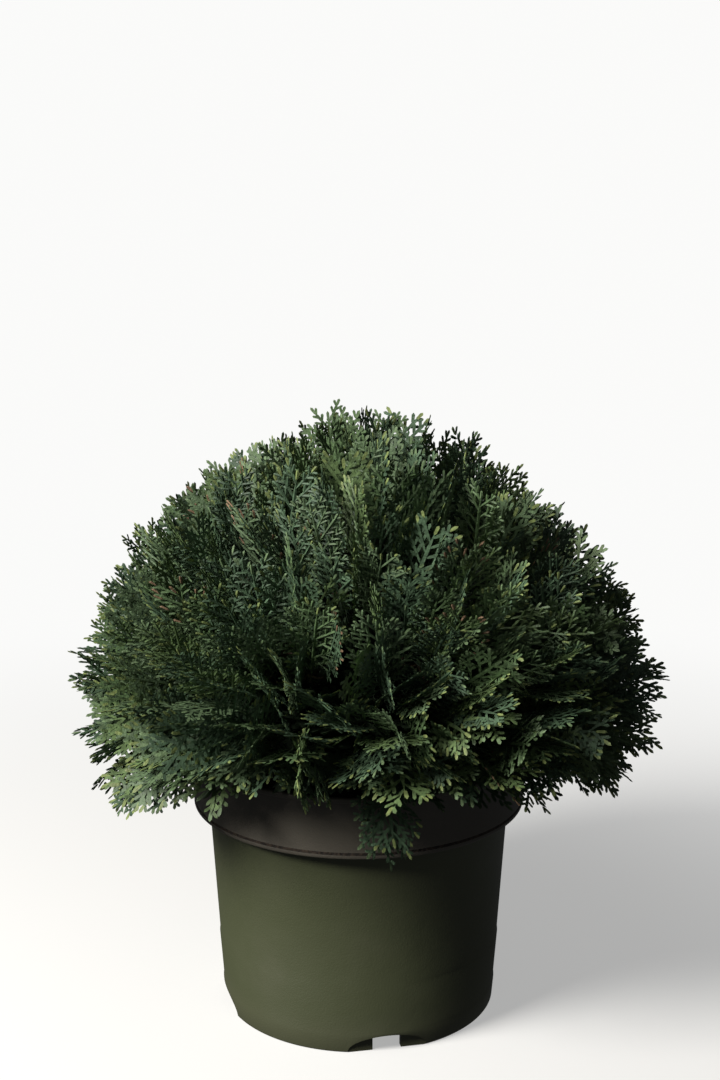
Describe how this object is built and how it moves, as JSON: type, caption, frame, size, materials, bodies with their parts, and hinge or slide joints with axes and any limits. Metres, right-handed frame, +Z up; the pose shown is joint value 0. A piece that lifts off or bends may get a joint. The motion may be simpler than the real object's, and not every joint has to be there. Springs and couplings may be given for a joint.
{
  "type": "potted dwarf lawson cypress",
  "caption": "Dome-shaped dwarf conifer with upright blue-green fan sprays on a short stem, growing in a round olive plastic nursery pot with a tall plain rim band.",
  "frame": {"origin": "centre of the pot's flat underside, on its axis, at the surface it stands on", "axes": "+Z up along the pot's axis; -Y is the front, the side that the picture shows; +X is to the right in the picture"},
  "size_m": [0.3712, 0.3568, 0.3883],
  "materials": {
    "pot_plastic": "matte",
    "compost": "matte",
    "bark": "matte",
    "foliage": "matte"
  },
  "bodies": {
    "root": {"pot": "pot_plastic", "compost": "compost", "trunk": "bark", "bough_low_1": "bark", "bough_low_2": "bark", "bough_low_3": "bark", "bough_low_4": "bark", "bough_low_5": "bark", "bough_low_6": "bark", "bough_low_7": "bark", "bough_low_8": "bark", "bough_middle_1": "bark", "bough_middle_2": "bark", "bough_middle_3": "bark", "bough_middle_4": "bark", "bough_middle_5": "bark", "bough_middle_6": "bark", "bough_middle_7": "bark", "bough_upper_1": "bark", "bough_upper_2": "bark", "bough_upper_3": "bark", "bough_upper_4": "bark", "foliage_low_1": "foliage", "foliage_low_2": "foliage", "foliage_low_3": "foliage", "foliage_low_4": "foliage", "foliage_low_5": "foliage", "foliage_low_6": "foliage", "foliage_low_7": "foliage", "foliage_low_8": "foliage", "foliage_middle_1": "foliage", "foliage_middle_2": "foliage", "foliage_middle_3": "foliage", "foliage_middle_4": "foliage", "foliage_middle_5": "foliage", "foliage_middle_6": "foliage", "foliage_middle_7": "foliage", "foliage_upper_1": "foliage", "foliage_upper_2": "foliage", "foliage_upper_3": "foliage", "foliage_upper_4": "foliage", "foliage_top": "foliage"}
  },
  "joints": []
}
